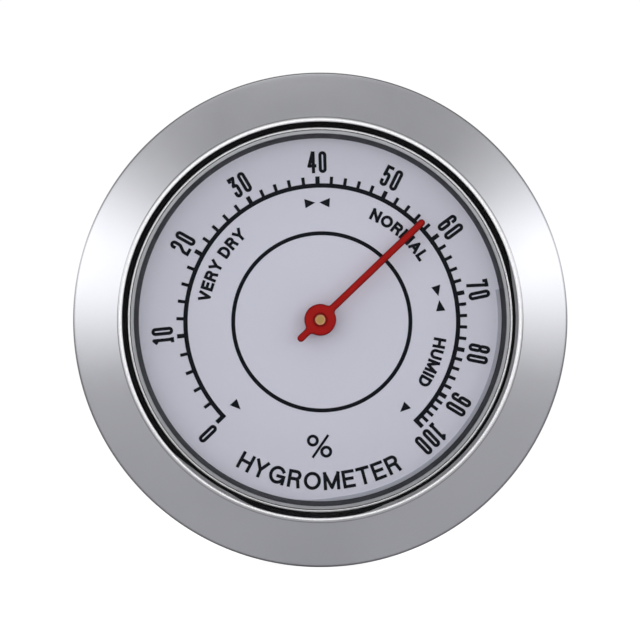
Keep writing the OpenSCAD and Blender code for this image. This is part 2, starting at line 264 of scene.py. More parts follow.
class Nodes:
    """A short way to write a material's node tree."""

    def __init__(self, name):
        self.material = bpy.data.materials.new(name)
        self.material.use_nodes = True
        self.tree = self.material.node_tree
        self.tree.nodes.clear()
        self.output = self.add("ShaderNodeOutputMaterial")

    def add(self, kind, **values):
        """A node, with values for its sockets or its settings by name."""
        node = self.tree.nodes.new(kind)
        for key, value in values.items():
            if key in node.inputs:
                node.inputs[key].default_value = value
            else:
                setattr(node, key, value)
        return node

    def link(self, source, target):
        self.tree.links.new(source, target)

    def place(self):
        """Object coordinates: metres in the part's own frame."""
        return self.add("ShaderNodeTexCoord").outputs["Object"]

    def noise(self, scale, detail=4.0, roughness=0.55):
        node = self.add("ShaderNodeTexNoise", Scale=scale, Detail=detail, Roughness=roughness)
        self.link(self.place(), node.inputs["Vector"])
        return node.outputs["Fac"]

    def spread(self, value, low, high, out_low, out_high, smooth=False):
        """A value's range from low to high, spread over another range and held at its ends."""
        node = self.add("ShaderNodeMapRange")
        node.interpolation_type = "SMOOTHSTEP" if smooth else "LINEAR"
        node.clamp = True
        sockets = ("From Min", "From Max", "To Min", "To Max")
        for socket, number in zip(sockets, (low, high, out_low, out_high)):
            node.inputs[socket].default_value = number
        self.link(value, node.inputs["Value"])
        return node.outputs["Result"]

    def vary(self, noise, low, high):
        """A value that wanders between two limits with a noise, most of which is from 0.3 to 0.7."""
        return self.spread(noise, 0.3, 0.7, low, high)

    def turned(self, radius, pitch):
        """Fine turning lines round the axis, at a pitch in millimetres."""
        return self.math("SINE", self.math("MULTIPLY", radius, 2 * math.pi / pitch))

    def math(self, operation, first, second=None):
        node = self.add("ShaderNodeMath", operation=operation)
        for slot, value in ((0, first), (1, second)):
            if value is None:
                continue
            if isinstance(value, (int, float)):
                node.inputs[slot].default_value = value
            else:
                self.link(value, node.inputs[slot])
        return node.outputs[0]

    def mix(self, factor, first, second):
        """A colour between two, by a factor socket."""
        node = self.add("ShaderNodeMix", data_type="RGBA")
        self.link(factor, node.inputs["Factor"])
        for slot, value in ((6, first), (7, second)):
            if isinstance(value, tuple):
                node.inputs[slot].default_value = (*value, 1)
            else:
                self.link(value, node.inputs[slot])
        return node.outputs[2]

    def radius(self):
        """Distance from the instrument's axis, in millimetres."""
        flat = self.add("ShaderNodeVectorMath", operation="MULTIPLY")
        self.link(self.place(), flat.inputs[0])
        flat.inputs[1].default_value = (1 / MM, 0, 1 / MM)
        length = self.add("ShaderNodeVectorMath", operation="LENGTH")
        self.link(flat.outputs["Vector"], length.inputs[0])
        return length.outputs["Value"]

    def flatness(self):
        """1 where the surface looks along the instrument's axis, 0 where it looks sideways."""
        split = self.add("ShaderNodeSeparateXYZ")
        self.link(self.add("ShaderNodeTexCoord").outputs["Normal"], split.inputs[0])
        return self.math("ABSOLUTE", split.outputs["Y"])

    def bump(self, height, distance, strength=1.0):
        node = self.add("ShaderNodeBump", Strength=strength, Distance=distance)
        self.link(height, node.inputs["Height"])
        return node.outputs["Normal"]

    def lit_and_seen(self, light, seen):
        """One shader for the light that it gives, and another for what the camera sees directly."""
        mix = self.add("ShaderNodeMixShader")
        self.link(self.add("ShaderNodeLightPath").outputs["Is Camera Ray"], mix.inputs[0])
        self.link(light.outputs[0], mix.inputs[1])
        self.link(seen.outputs[0], mix.inputs[2])
        self.link(mix.outputs[0], self.output.inputs["Surface"])

    def surface(self, colour, roughness, normal, metallic=0.0, specular=0.5):
        """A Principled surface, from sockets for its colour, roughness and normal."""
        shader = self.add("ShaderNodeBsdfPrincipled", Metallic=metallic)
        shader.inputs["Specular IOR Level"].default_value = specular
        for key, socket in (("Base Color", colour), ("Roughness", roughness), ("Normal", normal)):
            self.link(socket, shader.inputs[key])
        self.link(shader.outputs[0], self.output.inputs["Surface"])
        return self.material


def satin_chrome():
    """Satin plating, brighter on the land round the window; painted shade makes it darker in the step and
    at the outer edge.
    """
    land_rough = 0.27
    n = Nodes("satin_chrome")
    radius = n.radius()
    land = n.math("MULTIPLY", n.spread(radius, WINDOW_R - 0.1, WINDOW_R, 0, 1),
                  n.spread(radius, LAND_R, LAND_R + 0.03, 1, 0))
    # painted shade: a dark line at the outer edge, for the darker surroundings that the rounded rim
    # reflects
    edge = n.spread(radius, BEZEL_R - 0.4, BEZEL_R - 0.12, 0, 1, smooth=True)
    cloud = n.noise(90, detail=3)
    grain = n.noise(9000, detail=3, roughness=0.6)
    face = n.mix(cloud, (0.75, 0.755, 0.785), (0.79, 0.795, 0.825))
    # painted shade: the small step down from the land is coloured darker
    step = n.math("MULTIPLY", n.spread(radius, LAND_R - 0.01, LAND_R + 0.01, 0, 1),
                  n.spread(radius, LAND_R + LAND_STEP, LAND_R + LAND_STEP + 0.06, 1, 0))
    colour = n.mix(land, face, (0.80, 0.80, 0.805))
    colour = n.mix(step, colour, (0.45, 0.45, 0.46))
    colour = n.mix(edge, colour, (0.34, 0.34, 0.35))
    rough = n.math("ADD", n.vary(cloud, 0.2, 0.24), n.vary(grain, -0.02, 0.02))
    off_land = n.math("SUBTRACT", 1, land)
    rough = n.math("ADD", n.math("MULTIPLY", rough, off_land), n.math("MULTIPLY", land, land_rough))
    height = n.math("ADD", grain, n.math("MULTIPLY", n.turned(radius, 0.11), 0.05))
    normal = n.bump(height, 2e-6, 0.5)
    return n.surface(colour, rough, normal, metallic=1.0)


def satin_aluminium():
    """Turned aluminium: a grey face, a groove darkened with painted shade, and a brighter, smoother edge
    outside it.
    """
    n = Nodes("satin_aluminium")
    radius = n.radius()
    groove_end = TRIM_GROOVE_R + TRIM_GROOVE_W
    edge = n.spread(radius, TRIM_GROOVE_R, TRIM_GROOVE_R + 0.03, 0, 1)
    # painted shade: the fine groove is coloured near black
    groove_shade = n.math("MULTIPLY", edge, n.spread(radius, groove_end - 0.01, groove_end, 1, 0))
    cloud = n.noise(400, detail=4)
    face = n.mix(cloud, (0.34, 0.345, 0.355), (0.38, 0.385, 0.395))
    colour = n.mix(edge, face, (0.52, 0.52, 0.525))
    colour = n.mix(groove_shade, colour, (0.03, 0.03, 0.03))
    rough = n.math("SUBTRACT", n.vary(cloud, 0.34, 0.42), n.math("MULTIPLY", edge, 0.16))
    height = n.math("ADD", n.math("MULTIPLY", n.turned(radius, 0.05), 0.3), n.noise(8000))
    normal = n.bump(height, 1.5e-6, 0.5)
    return n.surface(colour, rough, normal, metallic=1.0)


def moulded_black(name, tone=0.02, texture=1.0, low=0.42, high=0.55):
    """Black moulded plastic with a fine spark-eroded texture; low and high limit its roughness."""
    n = Nodes(name)
    cloud = n.noise(120, detail=3)
    grain = n.noise(4200, detail=2, roughness=0.5)
    colour = n.mix(cloud, (tone * 0.85, tone * 0.85, tone * 0.9), (tone * 1.25, tone * 1.25, tone * 1.3))
    rough = n.math("ADD", n.vary(cloud, low, high), n.vary(grain, -0.04, 0.04))
    normal = n.bump(grain, 1.2e-5 * texture, 0.6)
    return n.surface(colour, rough, normal)


def rubber():
    """Matt black rubber."""
    n = Nodes("black_rubber")
    cloud = n.noise(150, detail=4)
    grain = n.noise(3000, detail=3)
    colour = n.mix(cloud, (0.012, 0.012, 0.013), (0.024, 0.024, 0.025))
    rough = n.vary(cloud, 0.55, 0.7)
    normal = n.bump(grain, 8e-6, 0.5)
    return n.surface(colour, rough, normal)


def seal_black():
    """The seal's deep black, nearly without gloss."""
    n = Nodes("seal_black")
    grain = n.noise(5000, detail=2)
    colour = n.mix(grain, (0.001, 0.001, 0.0015), (0.003, 0.003, 0.004))
    rough = n.vary(grain, 0.4, 0.5)
    return n.surface(colour, rough, n.bump(grain, 2e-6, 0.4), specular=0.05)


def seat_grey():
    """The grey lip that shows where the black seal sits off centre."""
    n = Nodes("seat_grey")
    grain = n.noise(4000, detail=3)
    colour = n.mix(grain, (0.34, 0.34, 0.355), (0.46, 0.46, 0.475))
    rough = n.vary(grain, 0.45, 0.6)
    return n.surface(colour, rough, n.bump(grain, 3e-6, 0.4))


def shade_band_grey():
    """Painted shade: the dial's paint, a little greyer, for the shaded band beside the ring's wall."""
    n = Nodes("shade_band_grey")
    grain = n.noise(6000, detail=3)
    colour = n.mix(grain, (0.50, 0.515, 0.585), (0.58, 0.595, 0.67))
    rough = n.vary(grain, 0.5, 0.62)
    return n.surface(colour, rough, n.bump(grain, 2e-6, 0.4))


def shadow_black():
    """Dark plastic of the tapered wall round the dial."""
    n = Nodes("shadow_black")
    grain = n.noise(3500, detail=3)
    cloud = n.noise(200, detail=2)
    colour = n.mix(cloud, (0.008, 0.010, 0.012), (0.014, 0.016, 0.019))
    rough = n.vary(grain, 0.4, 0.5)
    return n.surface(colour, rough, n.bump(grain, 5e-6, 0.5), specular=0.16)


def dial_paint():
    """Silver-lavender dial paint: a fine even grain and faintly cloudy, with painted light that makes it
    a little lighter at the rim, where the recess shades it.
    """
    n = Nodes("dial_paint")
    cloud = n.noise(60, detail=3)
    grain = n.noise(14000, detail=2)
    base = n.mix(cloud, (0.775, 0.78, 0.89), (0.805, 0.81, 0.915))
    # painted light: lighter towards the rim, against the shade cast by the recess's walls
    base = n.mix(n.spread(n.radius(), 19, 25.5, 0, 1, smooth=True), base, (0.85, 0.855, 0.965))
    colour = n.mix(n.spread(grain, 0.35, 0.65, 0, 0.12), base, (0.92, 0.925, 0.985))
    rough = n.vary(grain, 0.5, 0.6)
    return n.surface(colour, rough, n.bump(grain, 1.5e-6, 0.35))


def ink():
    """Screen-printed ink, with a slightly uneven sheen."""
    n = Nodes("black_ink")
    grain = n.noise(9000, detail=2)
    cloud = n.noise(900, detail=3)
    colour = n.mix(cloud, (0.002, 0.004, 0.007), (0.005, 0.007, 0.012))
    rough = n.vary(grain, 0.5, 0.62)
    return n.surface(colour, rough, n.bump(grain, 2e-6, 0.4), specular=0.1)


def red_plastic():
    """Red moulded plastic, with painted shade that makes it darker where it curves away at the edges."""
    n = Nodes("red_plastic")
    cloud = n.noise(500, detail=3)
    grain = n.noise(6000, detail=2)
    top = n.mix(cloud, (0.41, 0.007, 0.005), (0.48, 0.012, 0.009))
    # painted shade: darker where the surface turns away from the axis
    colour = n.mix(n.spread(n.flatness(), 0.5, 0.98, 0, 1, smooth=True), (0.18, 0.004, 0.007), top)
    rough = n.vary(grain, 0.4, 0.5)
    return n.surface(colour, rough, n.bump(grain, 2e-6, 0.4), specular=0.08)


def arbor_brass():
    """The arbor's turned end: an olive middle inside a lighter ring."""
    n = Nodes("arbor_brass")
    cloud = n.noise(1800, detail=4)
    ring = n.spread(n.radius(), ARBOR_R * 0.55, ARBOR_R * 0.75, 0, 1, smooth=True)
    middle = n.mix(cloud, (0.35, 0.23, 0.08), (0.43, 0.29, 0.10))
    colour = n.mix(ring, middle, (0.58, 0.29, 0.15))
    rough = n.vary(cloud, 0.34, 0.46)
    return n.surface(colour, rough, n.bump(cloud, 2e-6, 0.5), metallic=1.0)


def brass():
    """Turned brass, a little uneven in colour and polish."""
    n = Nodes("brass")
    cloud = n.noise(700, detail=4)
    grain = n.noise(7000, detail=3)
    colour = n.mix(cloud, (0.66, 0.42, 0.16), (0.76, 0.50, 0.20))
    rough = n.vary(cloud, 0.28, 0.4)
    return n.surface(colour, rough, n.bump(grain, 2e-6, 0.5), metallic=1.0)


def steel():
    """Zinc-plated steel."""
    n = Nodes("zinc_steel")
    cloud = n.noise(500, detail=4)
    grain = n.noise(6500, detail=3)
    colour = n.mix(cloud, (0.55, 0.56, 0.57), (0.68, 0.68, 0.68))
    rough = n.vary(cloud, 0.26, 0.4)
    return n.surface(colour, rough, n.bump(grain, 2.5e-6, 0.5), metallic=1.0)


def coil_metal():
    """The sensing coil's thin bronze strip."""
    n = Nodes("coil_strip")
    cloud = n.noise(350, detail=4)
    colour = n.mix(cloud, (0.50, 0.40, 0.26), (0.62, 0.52, 0.36))
    rough = n.vary(cloud, 0.35, 0.5)
    return n.surface(colour, rough, n.bump(n.noise(5000), 2e-6, 0.4), metallic=1.0)


def clear_lens():
    """A clear window: see-through, with a gloss that grows towards grazing angles and a faint haze."""
    n = Nodes("clear_lens")
    clear = n.add("ShaderNodeBsdfTransparent", Color=(0.998, 0.998, 0.998, 1))
    gloss = n.add("ShaderNodeBsdfGlossy", Color=(1, 1, 1, 1))
    n.link(n.spread(n.noise(120, detail=5), 0.45, 0.8, 0.015, 0.05), gloss.inputs["Roughness"])
    facing = n.add("ShaderNodeLayerWeight", Blend=0.5).outputs["Facing"]
    least, most = 0.007, 0.4
    share = n.math("ADD", n.math("MULTIPLY", n.math("POWER", facing, 5), most), least)
    mix = n.add("ShaderNodeMixShader")
    n.link(share, mix.inputs[0])
    n.link(clear.outputs[0], mix.inputs[1])
    n.link(gloss.outputs[0], mix.inputs[2])
    n.link(mix.outputs[0], n.output.inputs["Surface"])
    return n.material


MATERIALS = {
    "satin_chrome": satin_chrome(),
    "satin_aluminium": satin_aluminium(),
    "case_plastic": moulded_black("case_plastic"),
    "cover_plastic": moulded_black("cover_plastic", tone=0.023, texture=1.4, low=0.48, high=0.6),
    "black_rubber": rubber(),
    "seal_black": seal_black(),
    "seat_grey": seat_grey(),
    "shade_band_grey": shade_band_grey(),
    "shadow_black": shadow_black(),
    "dial_paint": dial_paint(),
    "black_ink": ink(),
    "red_plastic": red_plastic(),
    "arbor_brass": arbor_brass(),
    "brass": brass(),
    "steel": steel(),
    "coil_strip": coil_metal(),
    "clear_lens": clear_lens(),
}


# ---------------------------------------------------------------- turned rings at the front

def bezel_outline():
    """The bezel's cross-section, from the window's wall over the flat land and down the sloped face."""
    half = RIM_T / 2
    slope = math.radians(SLOPE)
    rim_c = BEZEL_R - half
    rim_x = rim_c + half * math.sin(slope)
    rim_y = -half * (1 + math.cos(slope))
    face_r = LAND_R + LAND_STEP
    face_y = rim_y - (rim_x - face_r) * math.tan(slope)
    land_y = face_y - LAND_RISE
    outline = [(SEAT_R, LENS_FRONT)]
    # the land's wall and its crowned top, with a small rounding at each side
    outline += [(WINDOW_R, LENS_FRONT)]
    outline += arc((WINDOW_R + LAND_EDGE, land_y + LAND_EDGE), LAND_EDGE, 180, 270, 6)
    outline += crowned((WINDOW_R + LAND_EDGE, land_y), (LAND_R - LAND_EDGE, land_y), LAND_CROWN, 8)[1:-1]
    outline += arc((LAND_R - LAND_EDGE, land_y + LAND_EDGE), LAND_EDGE, 270, 315, 4)
    # the small chamfer down to the sloped face, which is very slightly crowned
    outline += crowned((face_r, face_y), (rim_x, rim_y), FACE_CROWN, 14)[:-1]
    outline += arc((rim_c, -half), half, 270 + SLOPE, 450, 18)
    outline += [(SKIRT_R + SKIRT_ROOT, 0), (SKIRT_R, SKIRT_ROOT), (SKIRT_R, SKIRT_LEN - SKIRT_CHAMFER),
                (SKIRT_R - SKIRT_CHAMFER, SKIRT_LEN), (SEAT_R, SKIRT_LEN)]
    # the groove for the snap ridge
    outline += [(SEAT_R, SNAP_Y + 0.5), (SEAT_R + SNAP_DEEP, SNAP_Y + 0.3),
                (SEAT_R + SNAP_DEEP, SNAP_Y - 0.3), (SEAT_R, SNAP_Y - 0.5)]
    return outline


bezel = new_object("bezel_turned", lathe(bezel_outline(), 360), "housing",
                   MATERIALS["satin_chrome"], 20)
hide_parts("bezel")

LENS_EDGE = 0.2
lens = new_object("lens_clear", disc_lathe([(0, LENS_FRONT), (LENS_R - LENS_EDGE, LENS_FRONT),
                                            (LENS_R, LENS_FRONT + LENS_EDGE), (LENS_R, LENS_BACK),
                                            (0, LENS_BACK)]),
                  "housing", MATERIALS["clear_lens"])
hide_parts("lens")

SEAL_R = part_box("trim_ring")[1][0] / MM + 0.1
SEAL_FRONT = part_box("lens_seal")[0][1] / MM
SEAL_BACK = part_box("lens_seal")[1][1] / MM
LIP_T = 0.06             # thickness of the grey lip in front of the seal
LIP_GAP = 0.01
LIP_OUT = LENS_R - 0.1
seal = new_object("lens_seal_ring",
                  lathe(rounded([(SEAL_R, SEAL_FRONT + LIP_T), (LENS_R, SEAL_FRONT + LIP_T),
                                 (LENS_R, SEAL_BACK), (SEAL_R, SEAL_BACK)], 0.16)),
                  "housing", MATERIALS["seal_black"])
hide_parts("lens_seal")

# Where the grey lip shows beside the black seal: first and last clock angle
SEAL_GAPS = ((70, 167), (198, 227))


def seal_edge(clock):
    """Radius of the black seal's outer edge: just under the bezel's land, and less in the gaps."""
    covered = WINDOW_R + 0.05
    creep = 0.38
    fade = 8                 # degrees over which a gap opens
    inside = max(min(clock - start, end - clock) / fade for start, end in SEAL_GAPS)
    return covered - creep * min(1, max(0, inside))


lip = new_object("seal_seat_lip",
                 band(seal_edge, LIP_OUT, 0, 360, SEAL_FRONT + LIP_GAP, SEAL_FRONT + LIP_T, TURNS),
                 "housing", MATERIALS["seat_grey"])
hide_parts("lens_seal")

trim_lo, trim_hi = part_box("trim_ring")
TRIM_R = trim_hi[0] / MM
TRIM_TOP = trim_lo[1] / MM
TRIM_BACK = trim_hi[1] / MM
TRIM_IN = 26.4


def trim_outline():
    """The trim ring's cross-section: a flat face, a fine groove, and a crowned bright edge outside it."""
    groove_deep, crown, edge = 0.12, 0.014, 0.03
    strip_in = TRIM_GROOVE_R + TRIM_GROOVE_W
    strip_out = TRIM_R - edge
    outline = [(TRIM_IN, TRIM_BACK), (TRIM_R, TRIM_BACK), (TRIM_R, TRIM_TOP + 0.04)]
    outline += crowned((strip_out, TRIM_TOP + crown), (strip_in, TRIM_TOP + crown), crown, 8)
    outline += [(strip_in, TRIM_TOP + groove_deep), (TRIM_GROOVE_R, TRIM_TOP + groove_deep),
                (TRIM_GROOVE_R, TRIM_TOP), (TRIM_IN + edge, TRIM_TOP), (TRIM_IN, TRIM_TOP + edge)]
    return outline


trim = new_object("trim_ring_turned", lathe(trim_outline()),
                  "housing", MATERIALS["satin_aluminium"])
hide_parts("trim_ring")

SHADOW_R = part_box("shadow_ring")[1][0] / MM
SHADOW_IN = 25.8         # where the tapered wall meets the dial
SHADOW_TOP_IN = TRIM_IN - 0.01
shadow = new_object("shadow_ring_turned",
                    lathe([(SHADOW_IN, DIAL_Y), (SHADOW_R, DIAL_Y), (SHADOW_R, TRIM_BACK),
                           (SHADOW_TOP_IN, TRIM_BACK), (SHADOW_TOP_IN - 0.02, TRIM_BACK + 0.05)]),
                    "housing", MATERIALS["shadow_black"])
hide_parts("shadow_ring")

# A grey arc on the dial stands for the shaded band beside the ring's wall: painted shade, from one clock
# angle to another
SHADE_BAND_START = 79
SHADE_BAND_END = 186
SHADE_BAND_T = 0.08


def shade_band_edge(clock):
    """Inner radius of the painted shade's grey arc, which narrows almost to nothing at its far end."""
    width, least, fade = 0.5, 0.02, 14
    left = min(1, (SHADE_BAND_END - clock) / fade)
    return SHADOW_IN - 0.05 - width * max(left, least)


# painted shade: a thin grey arc laid on the dial at the lower right, beside the ring's wall
new_object("painted_shade_band",
           band(shade_band_edge, SHADOW_IN - 0.02, SHADE_BAND_START, SHADE_BAND_END,
                DIAL_Y - SHADE_BAND_T, DIAL_Y, 72),
           "housing", MATERIALS["shade_band_grey"])


# ---------------------------------------------------------------- printed numbers and words

NO_LENGTH = 1e-6         # two points nearer than this are one


def glyph(mark, w, h):
    """Centre lines of one character in a box w wide and h high; the shares of w and h are its design."""
    r = w / 2
    if mark == "0":
        return [ellipse(r, h - r, r, r, 0, 180) + ellipse(r, r, r, r, 180, 360) + [(w, h - r)]]
    if mark == "1":
        return [[(0.92 * w, 0), (0.92 * w, h), (0.45 * w, h - 0.95 * r)], [(0.6 * w, 0), (w, 0)]]
    if mark == "2":
        return [[(0, h - 1.5 * r)] + ellipse(r, h - r, r, r, 180, 0)
                + [(w, 0.64 * h), (0.9 * w, 0.54 * h), (0.1 * w, 0.27 * h), (0, 0.18 * h),
                   (0, 0), (w, 0)]]
    if mark == "3":
        top = 0.6 * h
        return [[(0, h - 0.7 * r), (0, h), (w, h), (0.32 * w, top)],
                [(0.32 * w, top), (r, top)] + ellipse(r, top - r, r, r, 90, 0)
                + ellipse(r, r, r, r, 0, -180) + [(0, 1.5 * r)]]
    if mark == "4":
        return [[(0.8 * w, 0), (0.8 * w, h)], [(0.64 * w, h), (-0.08 * w, 0.31 * h), (1.1 * w, 0.31 * h)]]
    if mark == "5":
        top = 0.62 * h
        return [[(w, h), (0.06 * w, h), (0, 0.53 * h)] + ellipse(r, top - r, r, r, 150, 0)
                + ellipse(r, r, r, r, 0, -180) + [(0, 1.5 * r)]]
    if mark == "6":
        top = 0.58 * h
        return [[(w, h - 1.5 * r)] + ellipse(r, h - r, r, r, 0, 180) + ellipse(r, r, r, r, 180, 360)
                + ellipse(r, top - r, r, r, 0, 180)]
    if mark == "7":
        return [[(0, h - 0.8 * r), (0, h), (w, h), (0.36 * w, 0)]]
    if mark == "8":
        waist = 0.54 * h
        return [ellipse(r, h - r, r, r, 0, 180) + ellipse(r, waist + r, r, r, 180, 360) + [(w, h - r)],
                ellipse(r, waist - r, r, r, 0, 180) + ellipse(r, r, r, r, 180, 360) + [(w, waist - r)]]
    if mark == "9":
        return [[(w - x, h - y) for x, y in line] for line in glyph("6", w, h)]
    if mark == "A":
        return [[(0, 0), (r, h), (w, 0)], [(0.2 * w, 0.3 * h), (0.8 * w, 0.3 * h)]]
    if mark == "D":
        return [[(0, 0), (0, h), (0.4 * w, h)]
                + ellipse(0.4 * w, h / 2, 0.6 * w, h / 2, 90, -90) + [(0, 0)]]
    if mark == "E":
        return [[(w, h), (0, h), (0, 0), (w, 0)], [(0, 0.52 * h), (0.88 * w, 0.52 * h)]]
    if mark == "G":
        return [ellipse(r, h / 2, r, h / 2, 38, 325, 28), [(0.56 * w, 0.44 * h), (w, 0.44 * h), (w, 0)]]
    if mark == "H":
        return [[(0, 0), (0, h)], [(w, 0), (w, h)], [(0, 0.52 * h), (w, 0.52 * h)]]
    if mark == "I":
        return [[(0, 0), (0, h)]]
    if mark == "L":
        return [[(0, h), (0, 0), (w, 0)]]
    if mark == "M":
        return [[(0, 0), (0, h)], [(0, h), (r, 0.04 * h), (w, h)], [(w, h), (w, 0)]]
    if mark == "N":
        return [[(0, 0), (0, h)], [(0, h), (w, 0)], [(w, 0), (w, h)]]
    if mark == "O":
        return [ellipse(r, h / 2, r, h / 2, 0, 360, 32)]
    if mark == "R":
        return [[(0, 0), (0, h), (0.6 * w, h)] + ellipse(0.6 * w, 0.75 * h, 0.36 * w, 0.25 * h, 90, -90)
                + [(0, 0.5 * h)], [(0.5 * w, 0.5 * h), (0.7 * w, 0.48 * h), (0.82 * w, 0.4 * h),
                                   (0.87 * w, 0.25 * h), (0.95 * w, 0)]]
    if mark == "T":
        return [[(0, h), (w, h)], [(r, h), (r, 0)]]
    if mark == "U":
        return [[(0, h)] + ellipse(r, r, r, r, 180, 360) + [(w, h)]]
    if mark == "V":
        return [[(0, h), (r, 0), (w, h)]]
    if mark == "Y":
        return [[(0, h), (r, 0.44 * h), (w, h)], [(r, 0.44 * h), (r, 0)]]
    raise ValueError(mark)


def turn_between(first, second):
    """Angle in degrees between two directions, or 0 where the second has no length."""
    return math.degrees(first.angle(second.normalized())) if second.length > NO_LENGTH else 0


def square_corner(turn):
    """True where a line turns nearly at a right angle, so that its corner is left square."""
    return 70 < turn < 110


def stroke_shapes(line, width):
    """Rectangles and discs that together cover a centre line drawn with a pen of this width."""
    half = width / 2
    points = [Vector(p) for p in line]
    closed = (points[0] - points[-1]).length < NO_LENGTH
    shapes = []
    last = len(points) - 2
    for i in range(len(points) - 1):
        a, b = points[i], points[i + 1]
        if (b - a).length < NO_LENGTH:
            continue
        along = (b - a).normalized()
        across = Vector((-along.y, along.x)) * half
        start = a - along * half if i == 0 and not closed else a
        end = b + along * half if i == last and not closed else b
        turn = turn_between(along, points[i + 2] - b) if i < last else 0
        if square_corner(turn):
            end = b + along * half
        elif turn > 1:
            shapes.append(arc(b, half, 0, 345, 23))
        if i > 0 and square_corner(turn_between(along, a - points[i - 1])):
            start = a - along * half
        corners = (start - across, end - across, end + across, start + across)
        shapes.append([tuple(corner) for corner in corners])
    if closed:
        shapes.append(arc(points[0], half, 0, 345, 23))
    return shapes


def on_dial(shapes, angle, base, width, upright):
    """Moves a character's shapes to their place: a clock angle, and the radius of its baseline."""
    out_x, out_z = math.sin(math.radians(angle)), math.cos(math.radians(angle))
    side = 1 if upright else -1
    placed = []
    for shape in shapes:
        placed.append([((base + side * v) * out_x + side * (u - width / 2) * out_z + PRINT_X,
                        (base + side * v) * out_z - side * (u - width / 2) * out_x - PRINT_DROP)
                       for u, v in shape])
    return placed


def united(shapes):
    """One flat sheet of triangles that covers all the shapes once."""
    verts = []
    faces = []
    for shape in shapes:
        faces.append(list(range(len(verts), len(verts) + len(shape))))
        verts += [Vector(p) for p in shape]
    points, _, triangles, _, _, owners = delaunay_2d_cdt(verts, [], faces, 0, 1e-5, True)
    return points, [t for t, owner in zip(triangles, owners) if owner]


def ink_mesh(characters):
    """A closed ink layer on the dial for a list of characters, each a list of flat shapes."""
    verts = []
    faces = []
    front, back = (DIAL_Y - INK) * MM, DIAL_Y * MM
    for shapes in characters:
        points, triangles = united(shapes)
        start = len(verts)
        count = len(points)
        verts += [(p.x * MM, y, p.y * MM) for y in (front, back) for p in points]
        for a, b, c in triangles:
            faces.append((start + a, start + b, start + c))
            faces.append((start + count + a, start + count + c, start + count + b))
        # a side wall stands on each edge that only one triangle has
        edges = dict.fromkeys(side for a, b, c in triangles for side in ((a, b), (b, c), (c, a)))
        for first, second in edges:
            if (second, first) not in edges:
                faces.append((start + second, start + first,
                              start + count + first, start + count + second))
    return closed_mesh("ink", verts, faces)


# Width of each capital letter, as a share of its height
LETTER_W = {"A": 0.76, "D": 0.75, "E": 0.66, "G": 0.86, "H": 0.74, "I": 0.2, "L": 0.57, "M": 0.9,
            "N": 0.74, "O": 0.88, "R": 0.72, "T": 0.69, "U": 0.73, "V": 0.74, "Y": 0.76, " ": 0.28}
# The title's letters are a little narrower
TITLE_W = {**LETTER_W, "E": 0.64, "H": 0.71, "M": 0.845, "R": 0.69, "Y": 0.71}
# Dial angle of each ten on the scale, clockwise from the top, and how far its number was set
# to the right of that place, in millimetres
DECADES = [-135, -97, -62, -32, -3, 25, 52, 77, 100, 120, 135]
SET_RIGHT = [-0.29, 0.16, 0.11, -0.05, 0.03, -0.16, 0.16, 0.05, 0.11, -0.05, 0.18]


def number_marks():
    """The scale's numbers in tens, tall and narrow, standing on the ticks."""
    height, width, gap, pen, base = 3.1, 1.13, 0.39, 0.46, 21.15
    characters = []
    for step, angle in enumerate(DECADES):
        text = str(step * 10)
        total = len(text) * width + (len(text) - 1) * gap
        for place, mark in enumerate(text):
            shift = -total / 2 + place * (width + gap) + width / 2 + SET_RIGHT[step]
            lines = glyph(mark, width - pen, height - pen)
            shapes = []
            for line in lines:
                shapes += stroke_shapes(line, pen)
            shapes = [[(u + shift + pen / 2, v + pen / 2) for u, v in shape] for shape in shapes]
            characters.append(on_dial(shapes, angle, base, width, True))
    return characters


def word_marks(word, bases, cap, pen, first, last, stretch, upright=True, letter_w=LETTER_W):
    """A word set round the dial between two clock angles, its baseline between two radii."""
    middle = bases[0] + cap / 2 if upright else bases[0] - cap / 2
    length = abs(math.radians(last - first)) * middle
    widths = [letter_w[letter] * cap * stretch for letter in word]
    gap = (length - sum(widths)) / (len(word) - 1)
    way = 1 if last > first else -1
    characters = []
    along = 0
    for letter, width in zip(word, widths):
        angle = first + way * math.degrees((along + width / 2) / middle)
        base = bases[0] + (bases[1] - bases[0]) * (along + width / 2) / length
        along += width + gap
        if letter == " ":
            continue
        shapes = []
        for line in glyph(letter, max(width - pen, 0), cap - pen):
            shapes += stroke_shapes([(u + pen / 2, v + pen / 2) for u, v in line], pen)
        characters.append(on_dial(shapes, angle, base, width, upright))
    return characters


def percent_mark():
    """The percent sign under the centre: two bold rings and a slash between them."""
    middle, ring, ring_pen, slash_pen = 17.8, 0.64, 0.42, 0.36
    shapes = []
    for x, y in ((-0.91, 0.89), (1.03, -0.64)):
        shapes += stroke_shapes(ellipse(x, y, ring, ring, 0, 360, 28), ring_pen)
    shapes += stroke_shapes([(-0.79, -1.39), (1.17, 1.6)], slash_pen)
    return [on_dial(shapes, 180, middle, 0, False)]


def print_piece(name, characters):
    return new_object(name, ink_mesh(characters), "housing", MATERIALS["black_ink"])


print_piece("print_numbers", number_marks())
# Each word: its baseline's radius at both ends, capitals' height, pen, clock angles and stretch
ZONES = (("VERY DRY", (16.14, 16.14), 1.78, 0.42, -81.2, -42.5, 1.05),
         ("NORMAL", (16.1, 16.26), 1.71, 0.42, 23.2, 57.1, 1.15),
         ("HUMID", (16.1, 15.98), 1.79, 0.42, 96.6, 121.2, 1.08))
TITLE = ("HYGROMETER", (23.92, 23.92), 2.56, 0.46, 209.7, 149.95, 1.08)
print_piece("print_zones", [character for zone in ZONES for character in word_marks(*zone)])
print_piece("print_title", word_marks(*TITLE, upright=False, letter_w=TITLE_W))
print_piece("print_percent", percent_mark())


# ---------------------------------------------------------------- pointer

